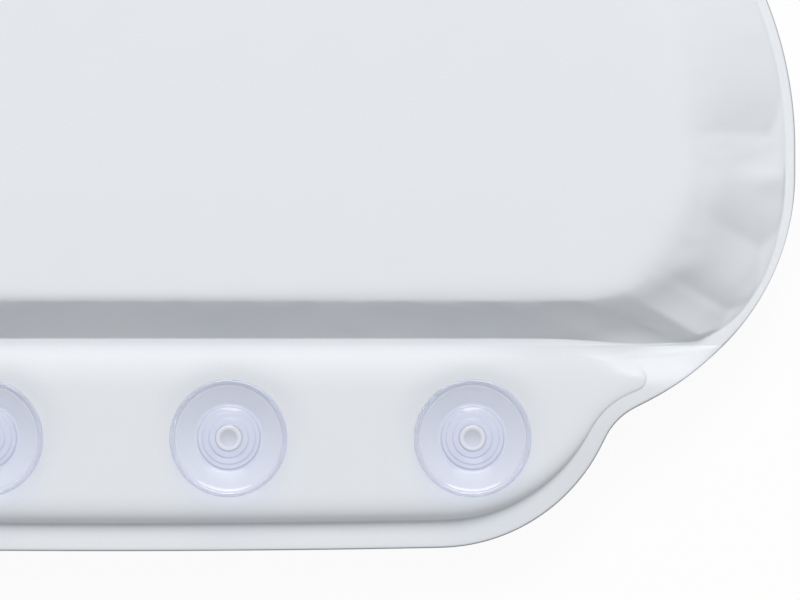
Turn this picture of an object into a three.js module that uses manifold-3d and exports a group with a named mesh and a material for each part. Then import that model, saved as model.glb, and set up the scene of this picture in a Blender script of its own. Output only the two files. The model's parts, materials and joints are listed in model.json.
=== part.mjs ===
// Bath pillow: a thick foam head pad and a slim foam flap, sealed between a back and a front vinyl
// sheet. The sheets are welded flat round the edge and along a straight line between pad and flap,
// and the flap bends about that line. Clear suction cups snap through the flap's back sheet.
// Millimetres, +Z up. The pillow lies on its front, with the cups facing up.

import * as THREE from "three";
import { mergeVertices } from "three/addons/utils/BufferGeometryUtils.js";
import Module from "manifold-3d";

// Outline, seen from the back
const HALF_WIDTH = 233;
const LOWER_CORNER_RADIUS = 97;
const LOWER_CORNER_BELOW_HINGE = 34;
const SIDE_STRAIGHT = 4;
const UPPER_CORNER_RADIUS = 137;
const FLAP_DROP = 70;
const FLAP_SIDE_INSET = 60.5;
const FLAP_CORNER_RADIUS = 62;
const NOTCH_RADIUS = 27;

// Vinyl sheets, their flat welded edges and the hinge weld
const SHEET = 0.8;
const WELD_GAP = 0.3;
const HINGE_BEAD_RADIUS = 0.8;
const HINGE_CLEARANCE = 0.3;
const PAD_FLANGE = 3.4;
const PAD_FOOT = 3;
const PAD_WELD_CORNER = 33;
const FLAP_FLANGE = 7.8;
const FLAP_SIDE_FLANGE = 4.5;
const FLAP_FOOT = 3.5;
const FLAP_WELD_NOTCH_RADIUS = 24;
const FLAP_NOSE_INSET = 51;
const FLAP_NOSE_RADIUS = 4.5;

// Head pad: a flat panel with sloping sides on the back, a rolled cushion on the front
const PANEL_SIDE_RUN = 28;
const PANEL_FOOT_RUN = 16;
const PANEL_TOP_RUN = 19;
const PANEL_LOWER_CORNER = 36;
const PANEL_UPPER_CORNER = 104;
const PAD_BACK_RISE = 22;
const PAD_BACK_CROWN = 2.5;
const PAD_FRONT_DEPTH = 26;
const PAD_FRONT_SIDE_ROLL = 42;
const PAD_FRONT_FOOT_ROLL = 26;

// Flap: a padded rim round a shallow valley that holds the row of cups
const FLAP_CREST = 10.5;
const FLAP_VALLEY = 8;
const FLAP_FRONT_DEPTH = 12;
const FOAM_SETBACK = 0.4;

// Suction cups, and the washers that keep them in the back sheet
const CUP_COUNT = 4;
const CUP_ROW = 31;
const CUP_END_INSET = 49.5;
const CUP_RADIUS = 20;
const CUP_LIP = 2.1;
const CUP_HEIGHT = 8.6;
const CUP_FLOOR_RADIUS = 10.5;
const CUP_FLOOR = 3.2;
const CUP_WELL_RADIUS = 6.6;
const CUP_WELL_DEPTH = 1.6;
const CUP_NUB_RADIUS = 3.7;
const CUP_NUB_HEIGHT = 0.8;
const SKIRT_EDGE = 1;
const SHOULDER_RADIUS = 9;
const SHOULDER_HEIGHT = 1;
const NECK_RADIUS = 4;
const NECK_CLEARANCE = 0.4;
const HEAD_RADIUS = 7;
const HEAD_HEIGHT = 3.2;
const CUP_TRAVEL = 2;
const CUP_CLEARANCE = 0.3;
const WASHER_RADIUS = 10;
const WASHER_THICKNESS = 1.2;
const POCKET_CLEARANCE = 1;

// How the padded surfaces swell between an outer and an inner outline: the share of the way
// inwards and the share of the full height, from the middle out
const PANEL_CROWN = [[0.75, 1], [0.4, 0.8], [0.06, 0]];
const PANEL_SLOPE = [[1, 0.985], [0.92, 0.9], [0.5, 0.44], [0.22, 0.19]];
const FRONT_ROLL = [[1, 1], [0.72, 0.965], [0.42, 0.84], [0.15, 0.47]];
const FLAP_VALLEY_SHARE = 0.6;
const FLAP_CREST_SHARE = 0.3;
const FLAP_SHOULDER = [0.1, 0.65];

// Steps along each stretch of half an outline, and round a turned piece
const EDGE_STEPS = 5;
const CORNER_STEPS = 6;
const UPPER_CORNER_STEPS = 9;
const TOP_STEPS = 3;
const NOTCH_STEPS = 4;
const SKIRT_STEPS = 3;
const CUP_SEGMENTS = 28;
const BEAD_SEGMENTS = 12;

// Places that follow from the sizes, with Y = 0 on the hinge line and Z = 0 on the weld plane
const WIDEST_LINE = LOWER_CORNER_RADIUS - LOWER_CORNER_BELOW_HINGE;
const SIDE_TOP = WIDEST_LINE + SIDE_STRAIGHT;
const PAD_TOP = SIDE_TOP + UPPER_CORNER_RADIUS;
const HINGE_EDGE = HINGE_BEAD_RADIUS + HINGE_CLEARANCE;
const FLAP_HALF_WIDTH = HALF_WIDTH - FLAP_SIDE_INSET;
const OUTER_CUP = FLAP_HALF_WIDTH - CUP_END_INSET;
const CUP_SEAT = FLAP_VALLEY + SHEET;
const WASHER_TOP = FLAP_VALLEY - CUP_CLEARANCE;
const HEAD_TOP = WASHER_TOP - WASHER_THICKNESS - CUP_CLEARANCE;
const SHOULDER_REST = CUP_SEAT + CUP_CLEARANCE + CUP_TRAVEL;
const NECK_LENGTH = SHOULDER_REST - HEAD_TOP;
const POCKET_FLOOR = HEAD_TOP - HEAD_HEIGHT - CUP_TRAVEL - POCKET_CLEARANCE;

const vinyl = new THREE.MeshStandardMaterial({ color: 0xe6e9ec, roughness: 0.55, metalness: 0 });
const paleFoam = new THREE.MeshStandardMaterial({ color: 0xe9e2cf, roughness: 0.95, metalness: 0 });
const clearVinyl = new THREE.MeshStandardMaterial({ color: 0xd3d8ea, roughness: 0.12, metalness: 0 });
const hardPlastic = new THREE.MeshStandardMaterial({ color: 0xdddfe0, roughness: 0.4, metalness: 0 });

const wasm = await Module();
wasm.setup();

const point = (x, y) => new THREE.Vector2(x, y);

// A named mesh with a material
function piece(name, geometry, material) {
  const mesh = new THREE.Mesh(geometry, material);
  mesh.name = name;
  return mesh;
}

// A closed geometry as a solid that can be joined and cut
function solidOf(geometry) {
  const bare = geometry.clone();
  bare.deleteAttribute("normal");
  bare.deleteAttribute("uv");
  const merged = mergeVertices(bare, 1e-3);
  const vertProperties = new Float32Array(merged.attributes.position.array);
  const triVerts = new Uint32Array(merged.index.array);
  return new wasm.Manifold(new wasm.Mesh({ numProp: 3, vertProperties, triVerts }));
}

// A joined or cut solid as a geometry again
function geometryOf(solid) {
  const mesh = solid.getMesh();
  const geometry = new THREE.BufferGeometry();
  geometry.setAttribute("position", new THREE.BufferAttribute(mesh.vertProperties, 3));
  geometry.setIndex(new THREE.BufferAttribute(mesh.triVerts, 1));
  return geometry;
}

// A turned piece about the Z axis, from its profile of radius and height
function turned(profile) {
  return new THREE.LatheGeometry(profile, CUP_SEGMENTS).rotateX(Math.PI / 2);
}

// Points along a straight stretch, without its last one
function line(from, to, steps) {
  return new THREE.LineCurve(from, to).getPoints(steps).slice(0, -1);
}

// Points along an arc of an ellipse, without its last one, counterclockwise where the angle grows
function arc(centre, radiusX, radiusY, from, to, steps) {
  const curve = new THREE.EllipseCurve(centre.x, centre.y, radiusX, radiusY, from, to, to < from);
  return curve.getPoints(steps).slice(0, -1);
}

// A closed outline from its right half, which runs from the lower middle to the upper middle
function mirrored(half) {
  const left = half.slice(1, -1).reverse();
  return [...half, ...left.map((p) => point(-p.x, p.y))];
}

// The outline that lies a share of the way from an outer outline to an inner one
function inwards(outer, inner, share) {
  return outer.map((p, i) => p.clone().lerp(inner[i], share));
}

// A closed body through a stack of rings, from the highest to the lowest, with a flat cap at each end.
// The rings have the same number of points, counterclockwise from above.
function loft(rings) {
  const count = rings[0].length;
  const lowest = (rings.length - 1) * count;
  const flat = (ring) => ring.map(([x, y]) => point(x, y));
  const index = [];
  for (let first = 0; first < lowest; first += count) {
    for (let i = 0; i < count; i++) {
      const here = first + i;
      const next = first + ((i + 1) % count);
      index.push(here, here + count, next + count, here, next + count, next);
    }
  }
  for (const [a, b, c] of THREE.ShapeUtils.triangulateShape(flat(rings[0]), [])) {
    index.push(a, b, c);
  }
  for (const [a, b, c] of THREE.ShapeUtils.triangulateShape(flat(rings.at(-1)), [])) {
    index.push(lowest + a, lowest + c, lowest + b);
  }
  const geometry = new THREE.BufferGeometry();
  geometry.setAttribute("position", new THREE.Float32BufferAttribute(rings.flat(2), 3));
  geometry.setIndex(index);
  return geometry;
}

// A surface is a list of outlines with their heights off the weld, from the middle out. Its rings lie
// at that height above or below the weld plane.
const ringsAbove = (surface, lift) => surface.map(([o, h]) => o.map((p) => [p.x, p.y, h + lift]));
const ringsBelow = (surface, drop) => surface.map(([o, h]) => o.map((p) => [p.x, p.y, -h - drop]));

function backSheet(surface) {
  return loft([...ringsAbove(surface, SHEET), ...ringsAbove(surface, 0).reverse()]);
}

function frontSheet(surface) {
  return loft([...ringsBelow(surface, WELD_GAP), ...ringsBelow(surface, WELD_GAP + SHEET).reverse()]);
}

// The foam fills the padded part of both surfaces, without the weld and the flange at their end
function foamCore(back, front) {
  const top = ringsAbove(back.slice(0, -2), -FOAM_SETBACK);
  const bottom = ringsBelow(front.slice(0, -2), WELD_GAP - FOAM_SETBACK);
  return loft([...top, ...bottom.reverse()]);
}

// An outline of the head pad, with elliptic corners that meet at the widest line
function padOutline({ halfWidth, bottom, top, lowerX, lowerY = WIDEST_LINE - bottom, upperX }) {
  const lower = point(halfWidth - lowerX, WIDEST_LINE);
  const upper = point(halfWidth - upperX, SIDE_TOP);
  const from = -Math.asin((WIDEST_LINE - bottom) / lowerY);
  return mirrored([
    ...line(point(0, bottom), point(lower.x + lowerX * Math.cos(from), bottom), EDGE_STEPS),
    ...arc(lower, lowerX, lowerY, from, 0, CORNER_STEPS),
    ...line(point(halfWidth, WIDEST_LINE), point(halfWidth, SIDE_TOP), 1),
    ...arc(upper, upperX, top - SIDE_TOP, 0, Math.PI / 2, UPPER_CORNER_STEPS),
    ...line(point(upper.x, top), point(0, top), TOP_STEPS),
    point(0, top),
  ]);
}

// The centre of an arc that hollows the outline between two round corners and touches both
function notchCentre(lower, upper, radius) {
  const across = upper.centre.clone().sub(lower.centre);
  const lowerReach = lower.radius + radius;
  const upperReach = upper.radius + radius;
  const along = (lowerReach ** 2 - upperReach ** 2 + across.lengthSq()) / (2 * across.length());
  const aside = Math.sqrt(lowerReach ** 2 - along ** 2);
  const unit = across.normalize();
  return lower.centre.clone().addScaledVector(unit, along).addScaledVector(point(unit.y, -unit.x), aside);
}

// An outline of the flap: lower edge, lower corner, hollow notch, round end, and the edge at the hinge
function flapOutline(lower, notchRadius, end, top) {
  const notch = notchCentre(lower, end, notchRadius);
  const direction = (from, to) => to.clone().sub(from).angle();
  const turn = 2 * Math.PI;
  const bottom = lower.centre.y - lower.radius;
  const endTop = Math.asin((top - end.centre.y) / end.radius);
  const lowerEnd = direction(lower.centre, notch);
  const endStart = direction(end.centre, notch) - turn;
  const endCorner = end.centre.x + end.radius * Math.cos(endTop);
  return mirrored([
    ...line(point(0, bottom), point(lower.centre.x, bottom), EDGE_STEPS),
    ...arc(lower.centre, lower.radius, lower.radius, -Math.PI / 2, lowerEnd - turn, CORNER_STEPS),
    ...arc(
      notch,
      notchRadius,
      notchRadius,
      direction(notch, lower.centre),
      direction(notch, end.centre),
      NOTCH_STEPS,
    ),
    ...arc(end.centre, end.radius, end.radius, endStart, endTop, CORNER_STEPS),
    ...line(point(endCorner, top), point(0, top), EDGE_STEPS),
    point(0, top),
  ]);
}

// Head pad outlines
const padEdge = padOutline({
  halfWidth: HALF_WIDTH,
  bottom: HINGE_EDGE,
  top: PAD_TOP,
  lowerX: LOWER_CORNER_RADIUS,
  lowerY: LOWER_CORNER_RADIUS,
  upperX: UPPER_CORNER_RADIUS,
});
const padWeld = padOutline({
  halfWidth: HALF_WIDTH - PAD_FLANGE,
  bottom: PAD_FOOT,
  top: PAD_TOP - PAD_FLANGE,
  lowerX: PAD_WELD_CORNER,
  upperX: UPPER_CORNER_RADIUS - PAD_FLANGE,
});
const panel = padOutline({
  halfWidth: HALF_WIDTH - PAD_FLANGE - PANEL_SIDE_RUN,
  bottom: PAD_FOOT + PANEL_FOOT_RUN,
  top: PAD_TOP - PAD_FLANGE - PANEL_TOP_RUN,
  lowerX: PANEL_LOWER_CORNER,
  upperX: PANEL_UPPER_CORNER,
});
const frontRest = padOutline({
  halfWidth: HALF_WIDTH - PAD_FLANGE - PAD_FRONT_SIDE_ROLL,
  bottom: PAD_FOOT + PAD_FRONT_FOOT_ROLL,
  top: PAD_TOP - PAD_FLANGE - PAD_FRONT_SIDE_ROLL,
  lowerX: PANEL_LOWER_CORNER,
  upperX: PANEL_UPPER_CORNER,
});
const panelMiddle = panel.map(() => point(0, SIDE_TOP));

// Head pad surfaces
const frontDepth = PAD_FRONT_DEPTH - WELD_GAP - SHEET;
const padBack = [
  ...PANEL_CROWN.map(([s, h]) => [inwards(panel, panelMiddle, s), PAD_BACK_RISE + PAD_BACK_CROWN * h]),
  ...PANEL_SLOPE.map(([s, h]) => [inwards(padWeld, panel, s), PAD_BACK_RISE * h]),
  [padWeld, 0],
  [padEdge, 0],
];
const padFront = [
  ...FRONT_ROLL.map(([s, h]) => [inwards(padWeld, frontRest, s), frontDepth * h]),
  [padWeld, 0],
  [padEdge, 0],
];

// Flap outlines. The edge follows the pad's lower corner down to the notch, and the front sheet's edge
// stops short of the hinge bead, which belongs to the back sheet.
const padCorner = { centre: point(HALF_WIDTH - LOWER_CORNER_RADIUS, WIDEST_LINE), radius: LOWER_CORNER_RADIUS };
const flapCorner = {
  centre: point(FLAP_HALF_WIDTH - FLAP_CORNER_RADIUS, FLAP_CORNER_RADIUS - FLAP_DROP),
  radius: FLAP_CORNER_RADIUS,
};
const weldRadius = FLAP_CORNER_RADIUS - FLAP_SIDE_FLANGE;
const weldCorner = {
  centre: point(flapCorner.centre.x, weldRadius + FLAP_FLANGE - FLAP_DROP),
  radius: weldRadius,
};
const nose = {
  centre: point(HALF_WIDTH - FLAP_NOSE_INSET - FLAP_NOSE_RADIUS, -FLAP_FOOT - FLAP_NOSE_RADIUS),
  radius: FLAP_NOSE_RADIUS,
};
const flapBackEdge = flapOutline(flapCorner, NOTCH_RADIUS, padCorner, 0);
const flapFrontEdge = flapOutline(flapCorner, NOTCH_RADIUS, padCorner, -HINGE_EDGE);
const flapWeld = flapOutline(weldCorner, FLAP_WELD_NOTCH_RADIUS, nose, -FLAP_FOOT);
const cupRow = flapWeld.map((p) => point(THREE.MathUtils.clamp(p.x, -OUTER_CUP, OUTER_CUP), -CUP_ROW));

// Flap surfaces
const flapSurface = (edge, valley, crest) => [
  [inwards(flapWeld, cupRow, FLAP_VALLEY_SHARE), valley],
  [inwards(flapWeld, cupRow, FLAP_CREST_SHARE), crest],
  [inwards(flapWeld, cupRow, FLAP_SHOULDER[0]), crest * FLAP_SHOULDER[1]],
  [flapWeld, 0],
  [edge, 0],
];
const flapFrontDepth = FLAP_FRONT_DEPTH - WELD_GAP - SHEET;
const flapBack = flapSurface(flapBackEdge, FLAP_VALLEY, FLAP_CREST);
const flapFront = flapSurface(flapFrontEdge, flapFrontDepth, flapFrontDepth);

// Where the cups stand along the row
const cupPlaces = Array.from({ length: CUP_COUNT }, (_, i) =>
  point(THREE.MathUtils.lerp(-OUTER_CUP, OUTER_CUP, i / (CUP_COUNT - 1)), -CUP_ROW),
);

// A round hole at every cup, between two heights
function cupHoles(geometry, radius, bottom, top) {
  let body = solidOf(geometry);
  for (const place of cupPlaces) {
    const hole = new THREE.CylinderGeometry(radius, radius, top - bottom, CUP_SEGMENTS).rotateX(Math.PI / 2);
    body = body.subtract(solidOf(hole.translate(place.x, place.y, (top + bottom) / 2)));
  }
  return geometryOf(body);
}

// The flap's back sheet: pierced for the cups' necks, and with the fused bead that it bends about
function flapBackSheet() {
  const hingeHalf = padCorner.centre.x + Math.sqrt(LOWER_CORNER_RADIUS ** 2 - WIDEST_LINE ** 2);
  const bead = new THREE.CylinderGeometry(
    HINGE_BEAD_RADIUS,
    HINGE_BEAD_RADIUS,
    2 * hingeHalf,
    BEAD_SEGMENTS,
  ).rotateZ(Math.PI / 2);
  const pierced = cupHoles(backSheet(flapBack), NECK_RADIUS + NECK_CLEARANCE, 0, FLAP_CREST + SHEET);
  return geometryOf(solidOf(pierced).add(solidOf(bead)));
}

// A suction cup, from its snap head up to its lip and down into the bowl, with Z = 0 under its shoulder
function suctionCup() {
  const skirtTop = CUP_HEIGHT - SKIRT_EDGE;
  const lipInside = CUP_RADIUS - CUP_LIP;
  const wellFloor = CUP_FLOOR - CUP_WELL_DEPTH;
  const skirt = new THREE.QuadraticBezierCurve(
    point(SHOULDER_RADIUS, SHOULDER_HEIGHT),
    point((SHOULDER_RADIUS + 2 * CUP_RADIUS) / 3, 2 * SHOULDER_HEIGHT),
    point(CUP_RADIUS, skirtTop),
  );
  const bowl = new THREE.QuadraticBezierCurve(
    point(lipInside, CUP_HEIGHT),
    point((lipInside + CUP_FLOOR_RADIUS) / 2, CUP_FLOOR + SKIRT_EDGE),
    point(CUP_FLOOR_RADIUS, CUP_FLOOR),
  );
  return turned([
    point(0, -NECK_LENGTH - HEAD_HEIGHT),
    point(HEAD_RADIUS / 2, -NECK_LENGTH - HEAD_HEIGHT),
    point(HEAD_RADIUS, -NECK_LENGTH - HEAD_HEIGHT / 2),
    point(HEAD_RADIUS, -NECK_LENGTH),
    point(NECK_RADIUS, -NECK_LENGTH),
    point(NECK_RADIUS, 0),
    point(SHOULDER_RADIUS, 0),
    ...skirt.getPoints(SKIRT_STEPS),
    point(CUP_RADIUS, CUP_HEIGHT),
    ...bowl.getPoints(SKIRT_STEPS),
    point(CUP_WELL_RADIUS, CUP_FLOOR),
    point(CUP_WELL_RADIUS, wellFloor),
    point(CUP_NUB_RADIUS, wellFloor),
    point(CUP_NUB_RADIUS / 2, wellFloor + CUP_NUB_HEIGHT),
    point(0, wellFloor + CUP_NUB_HEIGHT),
  ]);
}

// A flat washer on a cup's neck, with Z = 0 on its underside
function cupWasher() {
  const bore = NECK_RADIUS + NECK_CLEARANCE;
  return turned([
    point(bore, 0),
    point(WASHER_RADIUS, 0),
    point(WASHER_RADIUS, WASHER_THICKNESS),
    point(bore, WASHER_THICKNESS),
    point(bore, 0),
  ]);
}

function headPad() {
  const group = new THREE.Group();
  group.add(
    piece("pad_back_sheet", backSheet(padBack), vinyl),
    piece("pad_front_sheet", frontSheet(padFront), vinyl),
    piece("pad_foam", foamCore(padBack, padFront), paleFoam),
  );
  return group;
}

function flap() {
  const group = new THREE.Group();
  const pocketRadius = WASHER_RADIUS + POCKET_CLEARANCE;
  const core = cupHoles(foamCore(flapBack, flapFront), pocketRadius, POCKET_FLOOR, FLAP_CREST);
  group.add(
    piece("flap_back_sheet", flapBackSheet(), vinyl),
    piece("flap_front_sheet", frontSheet(flapFront), vinyl),
    piece("flap_foam", core, paleFoam),
  );
  cupPlaces.forEach((place, i) => {
    const cup = piece(`suction_cup_${i + 1}`, suctionCup(), clearVinyl);
    cup.position.set(place.x, place.y, SHOULDER_REST);
    const washer = piece(`cup_washer_${i + 1}`, cupWasher(), hardPlastic);
    washer.position.set(place.x, place.y, WASHER_TOP - WASHER_THICKNESS);
    group.add(cup, washer);
  });
  return group;
}

// The origin is under the middle of the pillow, on the surface that its front rests on
const pillow = new THREE.Group();
pillow.add(headPad(), flap());
pillow.position.set(0, (FLAP_DROP - PAD_TOP) / 2, PAD_FRONT_DEPTH);

export default pillow;
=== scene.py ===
import json
import math
import bpy
import numpy as np
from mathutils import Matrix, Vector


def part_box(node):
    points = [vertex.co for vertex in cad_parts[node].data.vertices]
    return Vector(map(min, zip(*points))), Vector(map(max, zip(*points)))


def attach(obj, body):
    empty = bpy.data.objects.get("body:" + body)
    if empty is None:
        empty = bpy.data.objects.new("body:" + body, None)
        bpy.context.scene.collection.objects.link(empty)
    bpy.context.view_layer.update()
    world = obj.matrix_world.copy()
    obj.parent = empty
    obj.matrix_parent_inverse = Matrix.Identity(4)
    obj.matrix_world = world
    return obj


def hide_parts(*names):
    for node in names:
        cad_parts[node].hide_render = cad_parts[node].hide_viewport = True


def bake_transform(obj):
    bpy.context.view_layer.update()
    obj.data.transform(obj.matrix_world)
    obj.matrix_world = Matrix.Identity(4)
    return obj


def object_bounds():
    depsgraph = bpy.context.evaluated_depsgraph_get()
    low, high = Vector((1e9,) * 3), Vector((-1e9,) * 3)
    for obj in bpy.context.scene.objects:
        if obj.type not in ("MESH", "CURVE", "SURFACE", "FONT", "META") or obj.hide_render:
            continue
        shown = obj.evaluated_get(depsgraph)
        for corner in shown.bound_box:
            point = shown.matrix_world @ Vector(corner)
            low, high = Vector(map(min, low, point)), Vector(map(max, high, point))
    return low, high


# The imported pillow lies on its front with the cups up. Lengths below are in millimetres from its hinge
# line, X across, Y towards the pad's top and Z off the weld, and become metres in the row frame.
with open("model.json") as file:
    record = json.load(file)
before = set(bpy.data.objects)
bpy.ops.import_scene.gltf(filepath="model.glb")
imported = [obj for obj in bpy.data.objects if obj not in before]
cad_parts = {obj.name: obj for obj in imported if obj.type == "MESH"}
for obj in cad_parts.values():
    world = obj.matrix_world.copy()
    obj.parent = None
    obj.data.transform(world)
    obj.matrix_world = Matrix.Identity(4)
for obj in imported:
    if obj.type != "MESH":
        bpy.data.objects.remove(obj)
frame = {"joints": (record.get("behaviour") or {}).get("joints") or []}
cad_low, cad_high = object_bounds()
MM = 0.001
joints = {joint["name"]: joint for joint in frame["joints"]}
hinge = np.array(joints["flap_fold"]["pos_m"])

# Foam block of the head pad. Soft open-cell foam, hot-wire cut to a flat back with sloping sides and a
# rolled front. It lies loose between the two vinyl sheets, which are welded shut round it.
HALF_WIDTH = cad_high.x / MM
PAD_TOP = (cad_high.y - hinge[1]) / MM
WIDEST_LINE = 58.5
SIDE_TOP = 67
PAD_FLANGE = 3.4
PAD_FOOT = 2.4
FOOT_DIP = 1.9
FOOT_DIP_AT = 181
FOOT_DIP_WIDTH = 19
FOOT_DIP_TOP = 30
HINGE_LIFT = 6.2
CREASE_RISE = 0.5
LIFT_END = 195
LIFT_FADE = 35
WELD_LOWER_CORNER = 33
WELD_UPPER_CORNER = 133.6
PANEL_LOWER_CORNER = 41
PANEL_UPPER_CORNER = 104
PANEL_SIDE_RUN = 30
PANEL_FOOT_RUN = 12.8
PANEL_TOP_RUN = 19
PAD_RISE = 22.6
PAD_CROWN = 0.4
PANEL_EDGE_SOFTNESS = 8
FOOT_EDGE_SOFTNESS = 3.6
FOOT_EDGE_FADE = 20
WELD_PUFF = 0.8
PUFF_SPAN = 0.7
PUFF_FROM = 3
PUFF_FADE = 8
FRONT_DEPTH = 24.9
FRONT_SIDE_ROLL = 42
FRONT_FOOT_ROLL = 26
SPINE_HALF = 112
SPINE_LINE = 95
FOAM_SETBACK = 0.7
FOAM_INSET = 3
FOAM_MARGIN = 2
FOAM_EDGE = 0.1
FOAM_DROP = 0.6
SLOPE_STEEPENING = 0.14
HINGE_STEPS = 42
CROWDING = 1.6
LOWER_CORNER_STEPS = 24
SIDE_STEPS = 4
UPPER_CORNER_STEPS = 36
UPPER_CROWDING = 1.4
TOP_STEPS = 5
BEVEL_SHARES = (0, 0.015, 0.04, 0.08, 0.14, 0.22, 0.32, 0.42, 0.53, 0.64, 0.74, 0.83, 0.9, 0.96)
PANEL_SHARES = (0, 0.02, 0.05, 0.1, 0.2, 0.45)
ROLL_TURNS = (0, 0.1, 0.2, 0.32, 0.45, 0.6, 0.76, 0.9, 1)
FRONT_REST_SHARES = (0.12, 0.35, 0.62)


def straight(start, end, steps):
    """Points along a straight stretch of an outline, without its last one."""
    return np.linspace(start, end, steps, endpoint=False)


def arc(centre, radii, start, end, steps, crowding=1):
    """Points along an elliptic stretch of an outline, without its last one, closer together at its start
    the more they crowd."""
    angle = start + (end - start) * (np.arange(steps) / steps) ** crowding
    return np.stack([centre[0] + radii[0] * np.cos(angle), centre[1] + radii[1] * np.sin(angle)], axis=1)


def both_sides(half):
    """A closed outline from its right half, which runs from the lower middle to the upper middle."""
    return np.concatenate([half, half[-2:0:-1] * (-1, 1)])


def hinge_shares():
    """Steps along half the hinge from its middle, closer together towards its end."""
    return 1 - (1 - np.arange(HINGE_STEPS) / HINGE_STEPS) ** CROWDING


def pad_outline(half_width, bottom, top, lower_x, lower_y, upper_x):
    """An outline of the head pad, with elliptic corners that meet at the widest line."""
    lower_centre = (half_width - lower_x, WIDEST_LINE)
    upper_centre = (half_width - upper_x, SIDE_TOP)
    first = -math.asin((WIDEST_LINE - bottom) / lower_y)
    across = (lower_centre[0] + lower_x * math.cos(first)) * hinge_shares()
    return both_sides(
        np.concatenate(
            [
                np.stack([across, np.full(HINGE_STEPS, bottom)], axis=1),
                arc(lower_centre, (lower_x, lower_y), first, 0, LOWER_CORNER_STEPS),
                straight((half_width, WIDEST_LINE), (half_width, SIDE_TOP), SIDE_STEPS),
                arc(
                    upper_centre,
                    (upper_x, top - SIDE_TOP),
                    0,
                    math.pi / 2,
                    UPPER_CORNER_STEPS,
                    UPPER_CROWDING,
                ),
                straight((upper_centre[0], top), (0, top), TOP_STEPS),
                [(0, top)],
            ]
        )
    )


def ease(share):
    """A smooth step from 0 to 1."""
    share = np.clip(share, 0, 1)
    return share * share * (3 - 2 * share)


def soft_lower(a, b, softness):
    """The lower of two heights, with a rounded edge where they cross."""
    share = np.clip(0.5 + 0.5 * (b - a) / softness, 0, 1)
    return b + (a - b) * share - softness * share * (1 - share)


def tent(share):
    """The slope of a sheet that hangs from the panel's edge to the weld, steepest under the edge."""
    inside = np.minimum(share, 1)
    even = (1 - SLOPE_STEEPENING) * inside
    beyond = (1 + 2 * SLOPE_STEEPENING) * np.maximum(share - 1, 0)
    return even + SLOPE_STEEPENING * inside**3 + beyond


def ring(plan, height):
    """A ring of points from its outline and its height, which may change along it."""
    return np.column_stack([plan, np.broadcast_to(height, len(plan))])


def lengths(a, b):
    return np.linalg.norm(b - a, axis=1)


def inset_line(line, towards, distance):
    """A line of points moved by a distance towards another line."""
    return line + (towards - line) * (distance / lengths(line, towards))[:, None]


def hinge_lift(across):
    """How far the hinge weld is pushed out of the plane of the flat edge, which it joins at its ends."""
    return HINGE_LIFT * ease((LIFT_END - np.abs(across)) / LIFT_FADE)


def pad_base(plan):
    """The height of the pad's flat edge and weld, which rises a little from the weld to the hinge line."""
    rise = HINGE_LIFT + CREASE_RISE * np.clip(1 - plan[:, 1] / PAD_FOOT, 0, 1)
    return hinge_lift(plan[:, 0]) / HINGE_LIFT * rise * (plan[:, 1] < WIDEST_LINE / 2)


pad_weld = pad_outline(
    HALF_WIDTH - PAD_FLANGE,
    PAD_FOOT,
    PAD_TOP - PAD_FLANGE,
    WELD_LOWER_CORNER,
    WIDEST_LINE - PAD_FOOT,
    WELD_UPPER_CORNER,
)
low_down = ease((FOOT_DIP_TOP - pad_weld[:, 1]) / FOOT_DIP_TOP)
from_dip = (np.abs(pad_weld[:, 0]) - FOOT_DIP_AT) / FOOT_DIP_WIDTH
pad_weld[:, 1] -= FOOT_DIP * low_down * np.exp(-(from_dip**2))
panel_bottom = PAD_FOOT + PANEL_FOOT_RUN
panel = pad_outline(
    HALF_WIDTH - PAD_FLANGE - PANEL_SIDE_RUN,
    panel_bottom,
    PAD_TOP - PAD_FLANGE - PANEL_TOP_RUN,
    PANEL_LOWER_CORNER,
    WIDEST_LINE - panel_bottom,
    PANEL_UPPER_CORNER,
)
rest_bottom = PAD_FOOT + FRONT_FOOT_ROLL
front_rest = pad_outline(
    HALF_WIDTH - PAD_FLANGE - FRONT_SIDE_ROLL,
    rest_bottom,
    PAD_TOP - PAD_FLANGE - FRONT_SIDE_ROLL,
    PANEL_LOWER_CORNER,
    WIDEST_LINE - rest_bottom,
    PANEL_UPPER_CORNER,
)
spine_across = np.clip(panel[:, 0], -SPINE_HALF, SPINE_HALF)
pad_spine = np.column_stack([spine_across, np.full(len(panel), SPINE_LINE)])


def pad_back_rings(lift, inset=0):
    """The back of the pad from the weld in to the panel's middle, or that of a block cut smaller."""
    weld = inset_line(pad_weld, panel, inset)
    edge = inset_line(panel, pad_spine, inset)
    run = lengths(weld, edge)
    width = lengths(edge, pad_spine)
    foot = pad_base(weld)
    puff = WELD_PUFF * ease((weld[:, 1] - PUFF_FROM) / PUFF_FADE)
    off_foot = ease((edge[:, 1] - panel_bottom) / FOOT_EDGE_FADE)
    softness = FOOT_EDGE_SOFTNESS + (PANEL_EDGE_SOFTNESS - FOOT_EDGE_SOFTNESS) * off_foot

    def height(share, top):
        start = foot + puff * (1 - np.exp(-share * run / PUFF_SPAN))
        return soft_lower(start + (PAD_RISE - foot - puff) * tent(share), top, softness) + lift

    rings = []
    for share in BEVEL_SHARES:
        rings.append(ring(weld + (edge - weld) * share, height(share, PAD_RISE)))
    for share in PANEL_SHARES:
        top = PAD_RISE + PAD_CROWN * ease(share / PANEL_SHARES[-1])
        rings.append(ring(edge + (pad_spine - edge) * share, height(1 + share * width / run, top)))
    return rings


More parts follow.
